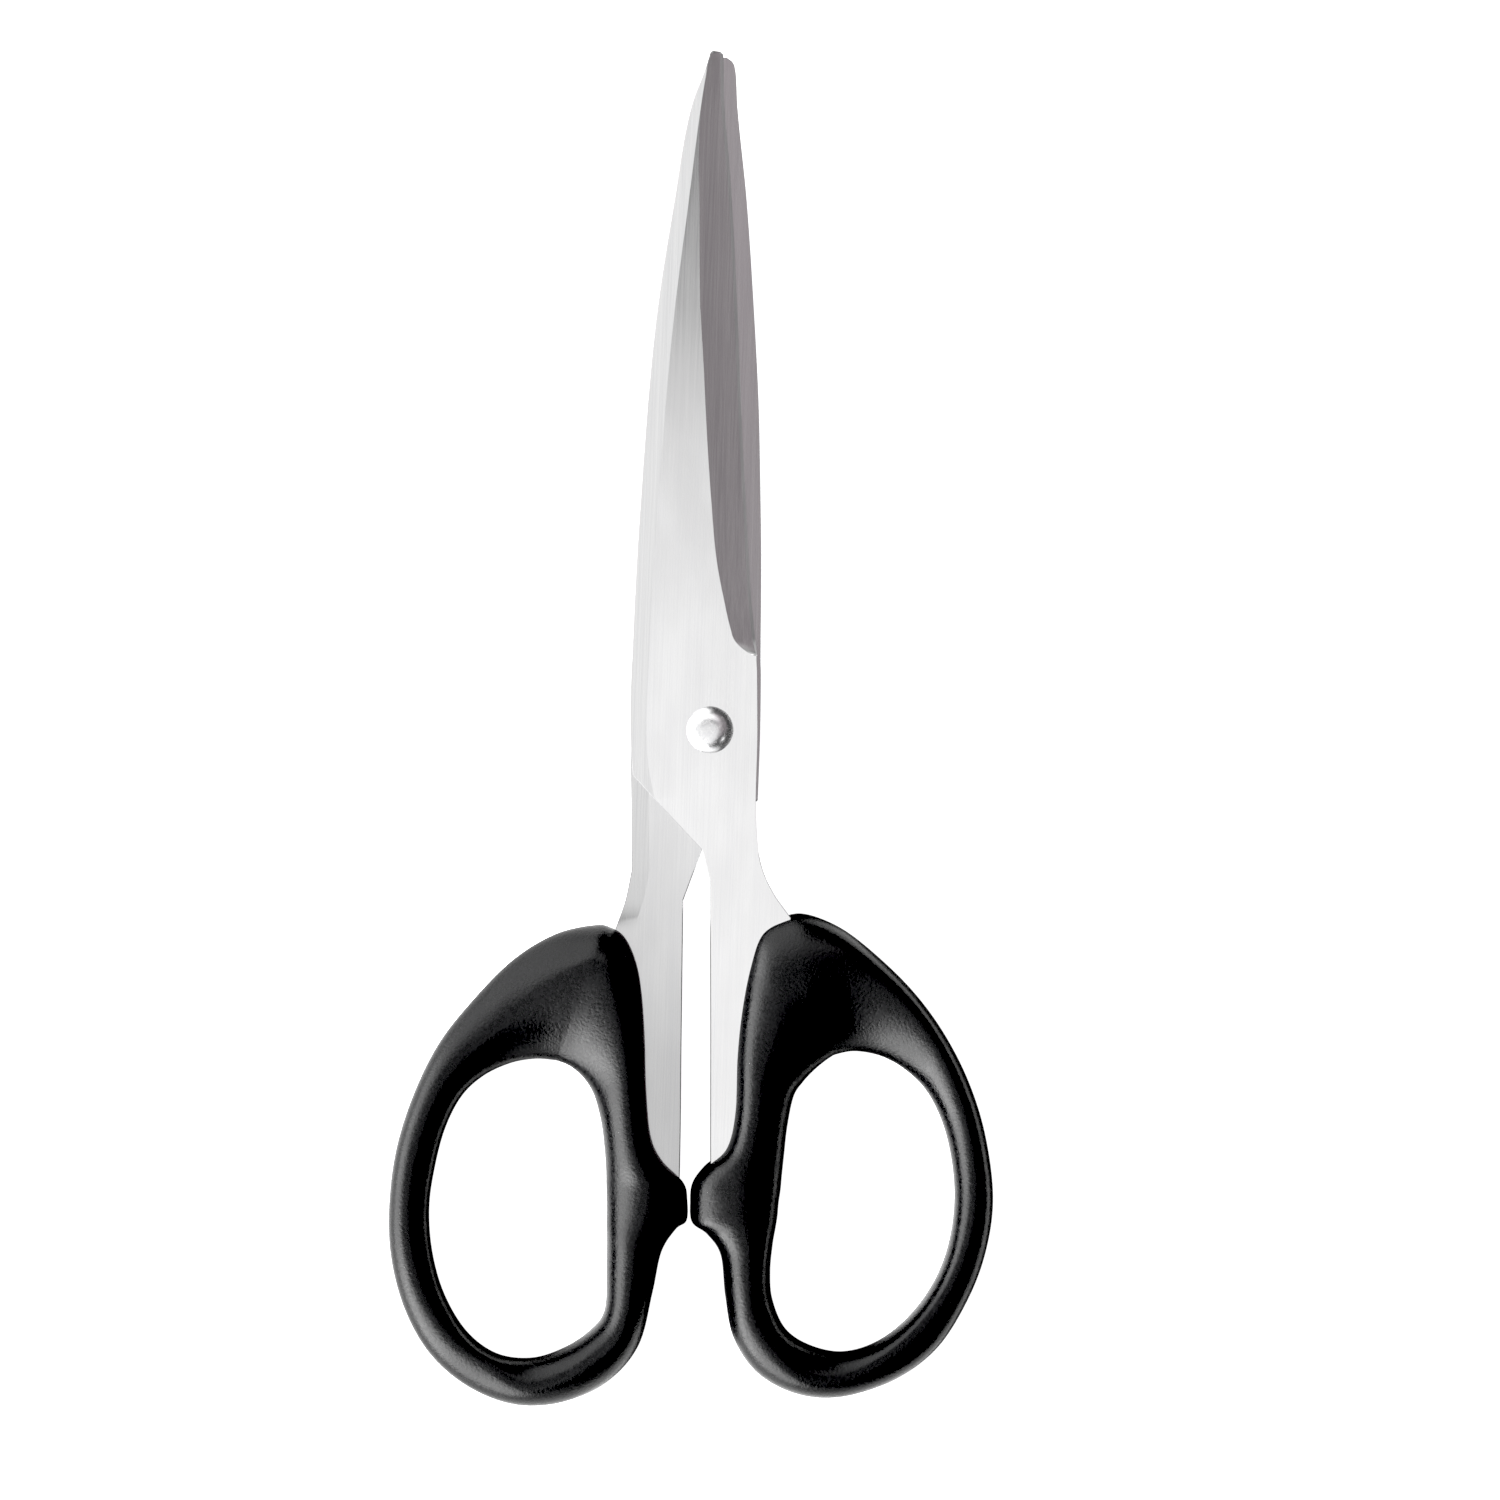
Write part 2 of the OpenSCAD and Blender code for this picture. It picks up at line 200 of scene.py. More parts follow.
RIGHT_RIBS = [
    (14, -23.6, 18.7, -42.1, 0.4, 4.4), (18.9, -25.4, 21.2, -41.6, 0.25, 4.1),
    (24.1, -29.2, 24.5, -42.1, 0.2, 3.8), (29, -33.8, 27.7, -43.7, 0.22, 3.6),
    (33.1, -39.1, 30.6, -46.3, 0.28, 3.5), (36.5, -45.3, 32.8, -50.1, 0.36, 3.4),
    (38.9, -52.2, 34.3, -54.9, 0.42, 3.4), (40.2, -60.2, 35, -60.7, 0.5, 3.4),
    (39.6, -67.1, 34.4, -66.9, 0.58, 3.4), (37.5, -73.7, 32.5, -72.2, 0.64, 3.4),
    (33.6, -80.5, 29.3, -76.8, 0.7, 3.5), (28.1, -85, 25.2, -80.2, 0.64, 3.6),
    (21.2, -87.6, 20.7, -81.6, 0.46, 3.7), (15.2, -87.5, 16.3, -80.8, 0.42, 3.9),
    (9.7, -84.9, 13.1, -78.7, 0.6, 4.1), (6.3, -80.3, 11.3, -74.9, 0.56, 4.3),
    (5, -74.7, 10.9, -71.2, 0.55, 4.5), (4.2, -69.3, 11.1, -67.7, 0.55, 4.5),
    (2.3, -66.6, 11.4, -65.5, 0.6, 4.5), (0.25, -65.1, 11.6, -63.9, 0.62, 4.5),
    (-0.1, -62.4, 11.7, -62.1, 0.6, 4.5), (0.1, -59.9, 11.9, -60.3, 0.58, 4.5),
    (1.6, -57.6, 12, -58.5, 0.52, 4.5), (4.3, -55, 12.2, -55.7, 0.42, 4.5),
    (5.3, -50.2, 12.5, -51.9, 0.42, 4.5), (5.3, -42.6, 13.2, -47.9, 0.45, 4.5),
    (5.7, -36.2, 14.4, -45.9, 0.5, 4.5), (6.6, -30.4, 15.7, -44.4, 0.5, 4.5),
    (8, -26, 16.9, -43.3, 0.48, 4.5), (10.9, -24.1, 17.8, -42.6, 0.46, 4.5)]


# ---------------------------------------------------------------- curves
def between(a, b, c, d, s):
    """The Catmull-Rom point a share s of the way from b to c, for rows of numbers."""
    return tuple(
        0.5 * (2 * q + (r - p) * s + (2 * p - 5 * q + 4 * r - t) * s ** 2 + (3 * q - p - 3 * r + t) * s ** 3)
        for p, q, r, t in zip(a, b, c, d))


def closed_curve(rows, steps):
    """A closed smooth run of rows through the given ones, with a number of steps from each to the next."""
    n = len(rows)
    return [between(rows[i - 1], rows[i], rows[(i + 1) % n], rows[(i + 2) % n], j / steps)
            for i in range(n) for j in range(steps)]


def edge_line(runs):
    """A function x(y) through chained runs of (x, y) points that rise in y, smooth within each run."""
    table = []
    for run in runs:
        knots = [(y, x) for x, y in run]
        slopes = []
        for i, (y, x) in enumerate(knots):
            steps = [
                (knots[j + 1][1] - knots[j][1]) / (knots[j + 1][0] - knots[j][0])
                for j in (i - 1, i) if 0 <= j < len(knots) - 1]
            slopes.append(sum(steps) / len(steps))
        table.append((knots, slopes))

    def x_at(y):
        knots, slopes = table[0]
        for knots, slopes in table:
            if y <= knots[-1][0]:
                break
        ys = [k[0] for k in knots]
        i = min(max(bisect.bisect_right(ys, y) - 1, 0), len(ys) - 2)
        h = ys[i + 1] - ys[i]
        s = min(max((y - ys[i]) / h, 0), 1)
        return ((2 * s ** 3 - 3 * s ** 2 + 1) * knots[i][1] + (s ** 3 - 2 * s ** 2 + s) * h * slopes[i]
                + (3 * s ** 2 - 2 * s ** 3) * knots[i + 1][1] + (s ** 3 - s ** 2) * h * slopes[i + 1])

    return x_at


def smooth(low, high, value):
    """From 0 at low to 1 at high, with level ends."""
    s = min(max((value - low) / (high - low), 0), 1)
    return s * s * (3 - 2 * s)


def stations(*edges):
    """Heights y of the cross sections: every corner of the edges, and even steps between them."""
    corners = sorted({p[1] for runs in edges for run in runs for p in (run[0], run[-1])} | set(HEEL))
    low = max(runs[0][0][1] for runs in edges)
    high = min(runs[-1][-1][1] for runs in edges)
    corners = [y for y in corners if low <= y <= high]
    made = []
    for a, b in zip(corners, corners[1:]):
        step = HEEL_STATION if HEEL[0] <= a < HEEL[1] else STATION
        count = max(1, math.ceil((b - a) / step))
        made += [a + (b - a) * i / count for i in range(count)]
    return made + [corners[-1]]


# ---------------------------------------------------------------- meshes
def mesh_object(name, points, faces, material):
    """A piece from points in millimetres, with its faces turned outwards."""
    mesh = bpy.data.meshes.new(name)
    mesh.from_pydata([tuple(v * MM for v in p) for p in points], [], faces)
    mesh.materials.append(material)
    made = bpy.data.objects.new(name, mesh)
    bpy.context.scene.collection.objects.link(made)
    bm = bmesh.new()
    bm.from_mesh(mesh)
    bmesh.ops.recalc_face_normals(bm, faces=bm.faces)
    bm.to_mesh(mesh)
    bm.free()
    return made


def loft(rings, closed):
    """Points and quads that join each ring of points to the next; an open loft gets flat ends."""
    sides = len(rings[0])
    points = [p for ring in rings for p in ring]
    pairs = list(zip(range(len(rings)), range(1, len(rings))))
    if closed:
        pairs.append((len(rings) - 1, 0))
    faces = [(i * sides + j, i * sides + (j + 1) % sides, k * sides + (j + 1) % sides, k * sides + j)
             for i, k in pairs for j in range(sides)]
    if not closed:
        faces.append(tuple(range(sides)))
        faces.append(tuple(range((len(rings) - 1) * sides, len(rings) * sides)))
    return points, faces


def shade(made, crease_degrees):
    """Smooth shading with sharp edges wherever faces meet at more than the given angle."""
    mesh = made.data
    mesh.polygons.foreach_set("use_smooth", [True] * len(mesh.polygons))
    mesh.set_sharp_from_angle(angle=math.radians(crease_degrees))


def blade_ring(y, left, right, strip, grind, rim, relief):
    """One cross section of a blank, drawn with its outer face up and its spine on the left."""
    top = TOP_Z
    low = BLADE_GAP / 2
    spine, keen = left(y), right(y)
    ease = RICASSO_EASE * smooth(*RICASSO_FOOT, y) * (1 - smooth(*RICASSO_TOP, y))
    edge = min(EDGE_CHAMFER, EDGE_SHARE * (keen - spine)) * (1 - ease)

    # Outer face, from the spine: bevel, flat, grind and hone.
    bevel_end = min(max(strip(y), spine + 2 * edge), keen - 4 * edge)
    fade = smooth(*SPINE_FOOT, y) * (1 - smooth(*SPINE_TIP, y))
    drop = SPINE_DROP * fade * min(1, (bevel_end - spine) / SPINE_FULL_W)
    flat_end = min(max(grind(y), bevel_end + 0.5 * edge), keen - 2 * edge)
    hone = edge + (min(HONE_W, HONE_SHARE * (keen - flat_end)) - edge) * smooth(*HEEL, y)
    depth = 0
    if y > GRIND_FOOT:
        inside = min(y, GRIND_TOP)
        depth = GRIND_SLOPE * (right(inside) - hone - max(grind(inside), bevel_end))
    ring = [(spine + edge, top - drop * (1 - edge / max(bevel_end - spine, edge))), (bevel_end, top)]
    ring += [(bevel_end + (flat_end - bevel_end) * i / MID_COLUMNS, top) for i in range(1, MID_COLUMNS)]
    ring += [(flat_end, top)]
    for i in range(1, GRIND_COLUMNS):
        s = i / GRIND_COLUMNS
        hollow = GRIND_HOLLOW * (depth > 0) * 4 * s * (1 - s)
        ring.append((flat_end + (keen - hone - flat_end) * s, top - depth * s - hollow))
    foot = top - depth
    ring += [(keen - hone, foot), (keen, max(foot - hone * HONE_DROP / HONE_W, low + KEEN_T + rim(y)))]

    # Inner face, back to the spine: rim bevel, flat and relief.
    rim_end = max(keen - (RIM_W if rim(y) else 3 * edge), spine + 3 * edge)
    relief_end = min(spine + RELIEF_W, right(min(y, RELIEF_TOP)) - 4 * edge)

    def inner(x):
        return low + relief(y) * max(relief_end - x, 0) / RELIEF_W

    turn = min(relief_end, rim_end - edge)
    ring += [(keen, low + KEEN_CHAMFER + rim(y)), (keen - edge, low + rim(y) * (1 - edge / RIM_W))]
    across = [rim_end + (turn - rim_end) * i / MID_COLUMNS for i in range(MID_COLUMNS + 1)]
    ring += [(x, inner(x)) for x in across + [spine + edge]]
    return [(spine, inner(spine) + edge), (spine, top - drop - edge)] + ring


def blade(name, node, outline, rim, relief, flip, bore, material):
    """A blank with its grinds, from its edges on the left and right and the ends of its bevel and flat."""
    side = -1 if flip else 1
    lines = [edge_line(runs) for runs in outline]
    rings = [[(side * x, y, PLANE_Z + side * z) for x, z in blade_ring(y, *lines, rim, relief)]
             for y in stations(*outline[:2])]
    made = mesh_object(name, *loft(rings, closed=False), material)
    drill(made, bore)
    shade(made, crease_degrees=5)
    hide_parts(node)
    return made


def drill(made, diameter):
    """Bores the pivot hole through a blade."""
    bm = bmesh.new()
    bmesh.ops.create_cone(
        bm, cap_ends=True, segments=64, radius1=diameter / 2 * MM, radius2=diameter / 2 * MM,
        depth=4 * BLADE_T * MM)
    bmesh.ops.translate(bm, vec=(PIVOT[0] * MM, PIVOT[1] * MM, PLANE_Z * MM), verts=bm.verts)
    mesh = bpy.data.meshes.new("drill")
    bm.to_mesh(mesh)
    bm.free()
    tool = bpy.data.objects.new("drill", mesh)
    bpy.context.scene.collection.objects.link(tool)
    cut = made.modifiers.new("bore", "BOOLEAN")
    cut.operation = "DIFFERENCE"
    cut.solver = "EXACT"
    cut.object = tool
    graph = bpy.context.evaluated_depsgraph_get()
    made.data = bpy.data.meshes.new_from_object(made.evaluated_get(graph))
    made.modifiers.clear()
    bpy.data.objects.remove(tool)


def bulge(reach, height, power):
    """(distance in, z) points of a superellipse quarter, from just past an edge up to the crest."""
    angles = [math.radians(90 * i / ROUND_STEPS) for i in range(1, ROUND_STEPS + 1)]
    return [(reach * (1 - math.cos(a) ** (2 / power)), height * math.sin(a) ** (2 / power)) for a in angles]


def grip_ring(rib, outer_least):
    """One cross section of a grip: crested on top, flatter below, with a fine parting line between."""
    ox, oy, hx, hy, crest, height = rib
    height = min(height, GRIP_H)
    width = math.hypot(hx - ox, hy - oy)

    def side(reach, least):
        return bulge(reach, height, max(min(ROUND_POWER - POWER_FALL * reach, ELLIPSE_POWER), least))

    outer = side(crest * width, outer_least)[:-1]
    hole = [(width - d, z) for d, z in side((1 - crest) * width, LEAST_POWER)][:-1]
    top = [(0, SEAM_HALF)] + outer + hole[::-1] + [(width, SEAM_HALF)]
    outer_reach = min(UNDER_OUTER, UNDER_OUTER_SHARE * width)
    hole_reach = min(UNDER_HOLE, UNDER_HOLE_SHARE * width)
    under_outer = bulge(outer_reach, GRIP_H, ELLIPSE_POWER)
    under_hole = [(width - d, z) for d, z in bulge(hole_reach, GRIP_H, ELLIPSE_POWER)]
    under = [(0, SEAM_HALF)] + under_outer + under_hole[::-1] + [(width, SEAM_HALF)]
    profile = [(SEAM_DEPTH, 0)] + top + [(width - SEAM_DEPTH, 0)] + [(d, -z) for d, z in under[::-1]]
    shares = [(GRIP_INSET + (width - GRIP_INSET) * d / width) / width for d, z in profile]
    return [(ox + (hx - ox) * t, oy + (hy - oy) * t, PLANE_Z + z) for t, (d, z) in zip(shares, profile)]


def grip(name, node, ribs, outer_least, material):
    """A moulded grip: one closed loop, lofted through its ribs."""
    rings = [grip_ring(rib, outer_least) for rib in closed_curve(ribs, RIB_STEPS)]
    made = mesh_object(name, *loft(rings, closed=True), material)
    shade(made, crease_degrees=30)
    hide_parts(node)
    return made


def turned(name, profile, material, segments=96):
    """A solid of revolution about the pivot, from (radius, z) points that start and end on the axis."""
    rings = []
    for i in range(segments):
        a = 2 * math.pi * i / segments
        rings.append(
            [(PIVOT[0] + r * math.cos(a), PIVOT[1] + r * math.sin(a), PLANE_Z + z) for r, z in profile])
    made = mesh_object(name, *loft(rings, closed=True), material)
    bm = bmesh.new()
    bm.from_mesh(made.data)
    bmesh.ops.remove_doubles(bm, verts=bm.verts, dist=1e-7)
    bmesh.ops.dissolve_degenerate(bm, edges=bm.edges, dist=1e-7)
    bmesh.ops.recalc_face_normals(bm, faces=bm.faces)
    bm.to_mesh(made.data)
    bm.free()
    return made


def dome(diameter, height, steps=24):
    """(radius, z) points of a domed rivet end on z = 0, from its flattened middle out to its rim."""
    return [(diameter / 2 * i / steps, height * (1 - (i / steps) ** DOME_POWER)) for i in range(steps + 1)]


# ---------------------------------------------------------------- materials
# How often each texture repeats along x, y and z, per metre. The streaks of the grinding run along y.
FINE_STREAKS = (5200, 45, 5200)
BROAD_STREAKS = (900, 14, 900)
STEEL_CLOUDS = (160, 60, 160)
HANDLING_MARKS = (1800, 1800, 1800)
MOULD_GRAIN = (2600, 2600, 2600)
MOULD_WAVES = (260, 260, 260)
FLOOR_CLOUDS = (40, 40, 40)
# The back tang gets painted shade: its colour darkens between these heights y.
PAINTED_SHADE_FROM = -8
PAINTED_SHADE_TO = -52


class Nodes:
    """A small wrapper that adds nodes to a tree and links them in one line."""

    def __init__(self, tree):
        self.tree = tree
        tree.nodes.clear()

    def add(self, kind, inputs=None, **settings):
        made = self.tree.nodes.new(kind)
        for key, value in settings.items():
            setattr(made, key, value)
        for key, value in (inputs or {}).items():
            if isinstance(value, bpy.types.NodeSocket):
                self.tree.links.new(value, made.inputs[key])
            else:
                made.inputs[key].default_value = value
        return made

    def math(self, operation, *values):
        return self.add("ShaderNodeMath", dict(enumerate(values)), operation=operation).outputs[0]

    def joined(self, operation, values):
        """All the values added or multiplied together."""
        total, *rest = values
        for value in rest:
            total = self.math(operation, total, value)
        return total

    def ramp(self, value, low, high, out_low=0, out_high=1):
        """A fade with level ends."""
        return self.add(
            "ShaderNodeMapRange",
            {"Value": value, "From Min": low, "From Max": high, "To Min": out_low, "To Max": out_high},
            interpolation_type="SMOOTHSTEP").outputs["Result"]

    def noise(self, scale, detail, roughness=0.5):
        """Noise on the piece, stretched by its own scale along each axis."""
        place = self.add("ShaderNodeTexCoord").outputs["Object"]
        vector = self.add("ShaderNodeMapping", {"Vector": place, "Scale": scale}).outputs["Vector"]
        return self.add(
            "ShaderNodeTexNoise",
            {"Vector": vector, "Scale": 1, "Detail": detail, "Roughness": roughness}).outputs["Fac"]

    def mix_colour(self, factor, a, b):
        made = self.add("ShaderNodeMix", {"Factor": factor}, data_type="RGBA")
        made.inputs["A"].default_value = (*a, 1)
        made.inputs["B"].default_value = (*b, 1)
        return made.outputs["Result"]


def new_material(name):
    material = bpy.data.materials.new(name)
    material.use_nodes = True
    return material, Nodes(material.node_tree)


def finish_material(nodes, shader):
    nodes.add("ShaderNodeOutputMaterial", {"Surface": shader.outputs[0]})


def ground_steel(name, low, high, painted_tang_shade):
    """Stainless steel ground along the blade: streaks in y, faint clouding, and painted shade down the tang.
    """
    material, n = new_material(name)
    fine = n.noise(FINE_STREAKS, 3)
    broad = n.noise(BROAD_STREAKS, 2)
    cloud = n.noise(STEEL_CLOUDS, 3)
    streaks = n.math("ADD", n.math("MULTIPLY", fine, 0.6), n.math("MULTIPLY", broad, 0.4))
    colour = n.mix_colour(n.ramp(streaks, 0.3, 0.7), low, high)
    # Painted shade: the colour is scaled darker down the tang, towards the grip.
    if painted_tang_shade < 1:
        place = n.add("ShaderNodeTexCoord").outputs["Object"]
        y = n.add("ShaderNodeSeparateXYZ", {"Vector": place}).outputs["Y"]
        painted_shade_ramp = n.ramp(y, PAINTED_SHADE_FROM * MM, PAINTED_SHADE_TO * MM, 1, painted_tang_shade)
        painted_shade_scale = n.add("ShaderNodeVectorMath", {0: colour, "Scale": painted_shade_ramp}, operation="SCALE")
        colour = painted_shade_scale.outputs["Vector"]
    rough = n.math("ADD", n.ramp(streaks, 0.3, 0.7, 0.15, 0.19), n.ramp(cloud, 0.3, 0.7, -0.02, 0.02))
    bump = n.add("ShaderNodeBump", {"Height": streaks, "Strength": 0.06, "Distance": 0.02 * MM})
    along = n.add(
        "ShaderNodeVectorTransform", {"Vector": (0, 1, 0)}, vector_type="VECTOR",
        convert_from="OBJECT", convert_to="WORLD")
    shader = n.add(
        "ShaderNodeBsdfPrincipled",
        {"Base Color": colour, "Metallic": 1.0, "Roughness": rough, "Normal": bump.outputs["Normal"],
         "Anisotropic": 0.7, "Anisotropic Rotation": 0.25, "Tangent": along.outputs["Vector"]})
    finish_material(n, shader)
    return material


def polished_steel(name):
    """Turned and polished rivet steel with light handling marks."""
    material, n = new_material(name)
    marks = n.noise(HANDLING_MARKS, 4, 0.6)
    colour = n.mix_colour(n.ramp(marks, 0.35, 0.7), (0.72, 0.72, 0.73), (0.82, 0.82, 0.82))
    rough = n.ramp(marks, 0.3, 0.75, 0.2, 0.3)
    bump = n.add("ShaderNodeBump", {"Height": marks, "Strength": 0.05, "Distance": 0.02 * MM})
    shader = n.add(
        "ShaderNodeBsdfPrincipled",
        {"Base Color": colour, "Metallic": 1.0, "Roughness": rough, "Normal": bump.outputs["Normal"]})
    finish_material(n, shader)
    return material


def moulded_plastic(name):
    """Black moulded plastic with a fine spark-eroded grain and a faint broad unevenness."""
    material, n = new_material(name)
    grain = n.noise(MOULD_GRAIN, 2, 0.55)
    broad = n.noise(MOULD_WAVES, 3)
    colour = n.mix_colour(n.ramp(grain, 0.35, 0.75), (0.0006, 0.0006, 0.0007), (0.0016, 0.0016, 0.0018))
    rough = n.math("ADD", n.ramp(grain, 0.3, 0.7, 0.25, 0.34), n.ramp(broad, 0.3, 0.7, -0.03, 0.03))
    height = n.math("ADD", grain, n.math("MULTIPLY", broad, 0.5))
    bump = n.add("ShaderNodeBump", {"Height": height, "Strength": 0.7, "Distance": 0.06 * MM})
    shader = n.add(
        "ShaderNodeBsdfPrincipled",
        {"Base Color": colour, "Roughness": rough, "Specular IOR Level": 0.45,
         "Normal": bump.outputs["Normal"]})
    finish_material(n, shader)
    return material


# ---------------------------------------------------------------- the scissors
steel = ground_steel("ground_steel", (0.71, 0.71, 0.715), (0.79, 0.79, 0.79), 1.0)
# The back blade's steel is a darker copy of the front's: painted shade, with more painted shade down its
# tang.
painted_shade_back_steel = ground_steel("ground_steel_back_painted_shade", (0.62, 0.62, 0.625), (0.69, 0.69, 0.69), 0.71)
rivet_steel = polished_steel("polished_steel")
plastic = moulded_plastic("moulded_plastic")


def flat(y):
    """No rim bevel and no relief."""
    return 0


def back_rim(y):
    """The shallow bevel on the rim of the back tang."""
    return RIM_DROP * smooth(*RIM_FOOT, y) * (1 - smooth(*RIM_TOP, y))


def back_relief(y):
    """The inner face falls away a little towards the spine."""
    return RELIEF_DROP * smooth(*RELIEF_FOOT, y)


front = blade(
    "front_blade_ground", "front_blade", (FRONT_LEFT, FRONT_RIGHT, FRONT_STRIP, FRONT_GRIND),
    rim=flat, relief=flat, flip=False, bore=SHOULDER_D + 2 * RUNNING_GAP, material=steel)
back = blade(
    "back_blade_ground", "back_blade", (BACK_LEFT, BACK_RIGHT, BACK_STRIP, BACK_GRIND),
    rim=back_rim, relief=back_relief, flip=True, bore=SPIGOT_D, material=painted_shade_back_steel)
left_grip = grip("left_grip", "left_handle", LEFT_RIBS, LEAST_POWER, plastic)
right_grip = grip("right_grip", "right_handle", RIGHT_RIBS, BLUNT_POWER, plastic)

head_base = TOP_Z + RIVET_PLAY
tail_base = -BLADE_GAP / 2 - BLADE_T - WASHER_T
head = [(r, head_base + z) for r, z in dome(HEAD_D, HEAD_H)]
shank = [(SHOULDER_D / 2, head_base), (SHOULDER_D / 2, -BLADE_GAP / 2), (SPIGOT_D / 2, -BLADE_GAP / 2),
         (SPIGOT_D / 2, tail_base)]
tail = [(r, tail_base - z) for r, z in dome(TAIL_D, TAIL_H)[::-1]]
rivet = turned("rivet_turned", head + shank + tail, rivet_steel)
shade(rivet, crease_degrees=30)
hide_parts("pivot_rivet")

washer_top = tail_base + WASHER_T
washer = turned(
    "washer_stamped",
    [(SPIGOT_D / 2, tail_base), (WASHER_D / 2 - WASHER_EASE, tail_base),
     (WASHER_D / 2, tail_base + WASHER_EASE), (WASHER_D / 2, washer_top - WASHER_EASE),
     (WASHER_D / 2 - WASHER_EASE, washer_top), (SPIGOT_D / 2, washer_top)],
    rivet_steel)
shade(washer, crease_degrees=25)
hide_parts("pivot_washer")

for piece in (back, left_grip, rivet, washer):
    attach(piece, "back_half")
for piece in (front, right_grip):
    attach(piece, "front_half")


# ---------------------------------------------------------------- floor, light and camera
# Panels of the sky. Each is a product of fades over u = x / z or v = y / z of a direction:
# the axis, where the fade starts and ends, and its value before and after.
OVER_PANEL = [
    ("u", -0.22, -0.1, 0, 1), ("u", 0.08, 0.2, 1, 0), ("v", -0.8, -0.4, 0, 1),
    ("v", -0.02, 0.03, 1.18, 1.08), ("v", 0.069, 0.088, 1, 0)]
LEFT_PANEL = [
    ("u", -1.6, -1.2, 0, 1), ("u", -0.22, -0.1, 0.93, 0), ("v", -1, -0.6, 0, 1), ("v", 0.6, 0.9, 1, 0)]
RIGHT_PANEL = [
    ("u", 0.1, 0.2, 0, 1), ("u", 0.3, 0.5, 0.4, 0.2), ("u", 1, 1.3, 1, 0),
    ("v", -0.2, -0.1, 0, 1), ("v", 0.035, 0.075, 0.86, 1), ("v", 0.9, 1.4, 1, 0)]
TOP_PANEL = [
    ("v", 0.22, 0.32, 0, 1), ("v", 0.7, 1, 1, 0), ("u", -0.25, -0.1, 0, 1), ("u", 0.05, 0.4, 1.2, 0)]
FAINT_TOP_PANEL = [("v", 0.1, 0.13, 0, 0.16)] + TOP_PANEL[1:]
# The least z that u and v are divided by, a light over the whole sky, and how white the camera sees it.
LEAST_RISE = 0.02
EVEN_LIGHT = 0.12
SEEN_SKY = 0.95
# The light from the right is faintly mauve: how much less green and blue it has.
LESS_GREEN = 0.11
LESS_BLUE = 0.06

# Round soft lamps: direction, the angles where each is full and where it ends, strength.
# The spark is a small one in the sky that the rivet's head mirrors.
SPARK_LAMP = ((0.77, -0.51, 1), 3, 7, 2.5)
# Low lamps for the grips and the rivet, on the left and in front.
EDGE_LAMPS = [
    ((-0.97, -0.17, 0.17), 14, 45, 6), ((-0.56, -0.66, 0.5), 12, 33, 7),
    ((-0.55, 0.7, 0.45), 10, 42, 2.4), ((0, -1, 0.2), 10, 35, 1.2)]
# An even glow round the horizon, which keeps the blades from going black in low views.
HORIZON_LAMPS = [
    ((math.cos(a), math.sin(a), 0.2), 10, 36, 0.45) for a in (math.radians(45 * i) for i in range(8))]


def pale_floor(size):
    """The floor looks white to the camera, and bounces only its own soft light back onto the scissors."""
    material, n = new_material("pale_floor")
    cloud = n.noise(FLOOR_CLOUDS, 3)
    colour = n.mix_colour(n.ramp(cloud, 0.3, 0.7), (0.32, 0.32, 0.32), (0.36, 0.36, 0.36))
    lit = n.add("ShaderNodeBsdfDiffuse", {"Color": colour})
    seen = n.add("ShaderNodeEmission", {"Color": (1, 1, 1, 1), "Strength": 1.0})
    both = n.add("ShaderNodeAddShader", {0: lit.outputs[0], 1: seen.outputs[0]})
    direct = n.add("ShaderNodeLightPath").outputs["Is Camera Ray"]
    shader = n.add("ShaderNodeMixShader", {0: direct, 1: lit.outputs[0], 2: both.outputs[0]})
    finish_material(n, shader)
    half = size / 2 / MM
    corners = [(-half, -half, 0), (half, -half, 0), (half, half, 0), (-half, half, 0)]
    mesh_object("floor", corners, [(0, 1, 2, 3)], material)


def soft_lamp(n, direction, centre, inner, outer, strength):
    """A round soft lamp round the direction "centre", full inside one angle and out at the other."""
    size = math.sqrt(sum(c * c for c in centre))
    middle = tuple(c / size for c in centre)
    dot = n.add("ShaderNodeVectorMath", {0: direction, 1: middle}, operation="DOT_PRODUCT")
    return n.ramp(
        dot.outputs["Value"], math.cos(math.radians(outer)), math.cos(math.radians(inner)), 0, strength)


def linked_lamps(name, radius, receivers, lamps):
    """A clear dome whose lamps light only the given pieces. No two domes share a radius."""
    material, n = new_material(name)
    place = n.add("ShaderNodeTexCoord").outputs["Object"]
    direction = n.add("ShaderNodeVectorMath", {0: place}, operation="NORMALIZE").outputs["Vector"]
    total = n.joined("ADD", [soft_lamp(n, direction, *lamp) for lamp in lamps])
    glow = n.add("ShaderNodeEmission", {"Strength": total})
    clear = n.add("ShaderNodeBsdfTransparent")
    finish_material(n, n.add("ShaderNodeAddShader", {0: glow.outputs[0], 1: clear.outputs[0]}))
    mesh = bpy.data.meshes.new(name)
    bm = bmesh.new()
    bmesh.ops.create_icosphere(bm, subdivisions=4, radius=radius)
    bm.to_mesh(mesh)
    bm.free()
    mesh.materials.append(material)
    made = bpy.data.objects.new(name, mesh)
    bpy.context.scene.collection.objects.link(made)
    made.visible_camera = False
    made.visible_diffuse = False
    made.visible_shadow = False
    group = bpy.data.collections.new(name)
    for piece in receivers:
        group.objects.link(piece)
    made.light_linking.receiver_collection = group


